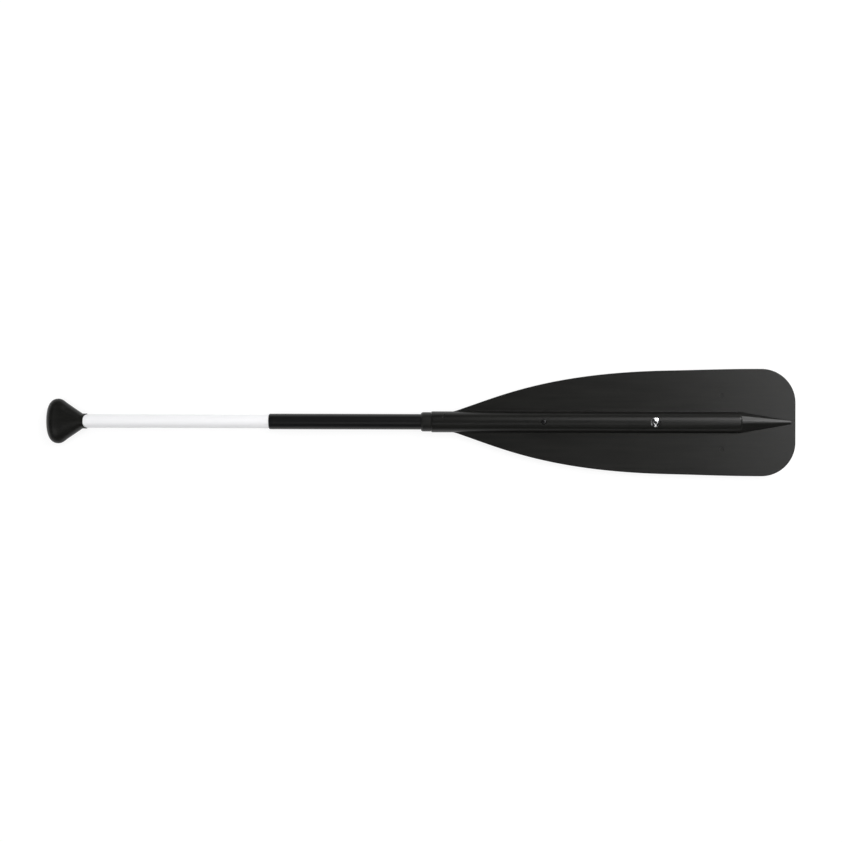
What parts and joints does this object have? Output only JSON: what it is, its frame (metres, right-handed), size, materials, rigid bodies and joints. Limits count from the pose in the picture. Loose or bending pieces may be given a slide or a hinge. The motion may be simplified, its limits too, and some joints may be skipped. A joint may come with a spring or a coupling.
{
  "type": "telescoping boat paddle",
  "caption": "Black telescoping boat paddle with a flat ribbed blade, two sliding round tubes and a flattened palm grip, shown pulled out and lying flat.",
  "frame": {"origin": "middle of the paddle's length and width, on the surface that it lies on when it is pulled out", "axes": "+X along the shaft from the palm grip to the blade's tip, +Z out of the blade's front face"},
  "size_m": [1.0668, 0.153, 0.0312],
  "materials": {
    "black_moulded_plastic": "moulded, satin",
    "black_nylon": "moulded, satin",
    "black_anodised_tube": "black anodised, satin",
    "clear_anodised_tube": "clear anodised, satin, nearly white",
    "polished_rivet": "polished",
    "dark_steel": "blackened",
    "spring_steel": "bare spring strip",
    "plug_plastic": "moulded, matte"
  },
  "bodies": {
    "blade": {"blade": "black_moulded_plastic", "socket_bush": "black_nylon", "stop_rivet": "polished_rivet"},
    "outer_shaft": {"outer_shaft": "black_anodised_tube", "outer_guide_bush": "black_nylon", "lower_lock_spring": "spring_steel"},
    "lower_button": {"lower_lock_button": "dark_steel"},
    "inner_shaft": {"inner_shaft": "clear_anodised_tube", "inner_shaft_plug": "plug_plastic", "upper_lock_spring": "spring_steel", "palm_grip": "black_moulded_plastic", "grip_screw": "dark_steel"},
    "upper_button": {"upper_lock_button": "dark_steel"}
  },
  "joints": [
    {"name": "outer_shaft_slide", "type": "slide", "parent": "blade", "child": "outer_shaft", "axis": [1, 0, 0], "range_m": [0, 0.1399], "deforming": ["lower_lock_spring", "lower_lock_button"]},
    {"name": "inner_shaft_slide", "type": "slide", "parent": "outer_shaft", "child": "inner_shaft", "axis": [1, 0, 0], "range_m": [0, 0.2585], "deforming": ["upper_lock_spring", "upper_lock_button"]},
    {"name": "lower_button_press", "type": "slide", "parent": "outer_shaft", "child": "lower_button", "axis": [0, 0, -1], "range_m": [0, 0.004], "stiffness_N_per_m": 1500, "springref_m": -0.003},
    {"name": "upper_button_press", "type": "slide", "parent": "inner_shaft", "child": "upper_button", "axis": [0, 0, 1], "range_m": [0, 0.003], "stiffness_N_per_m": 1500, "springref_m": -0.003}
  ]
}
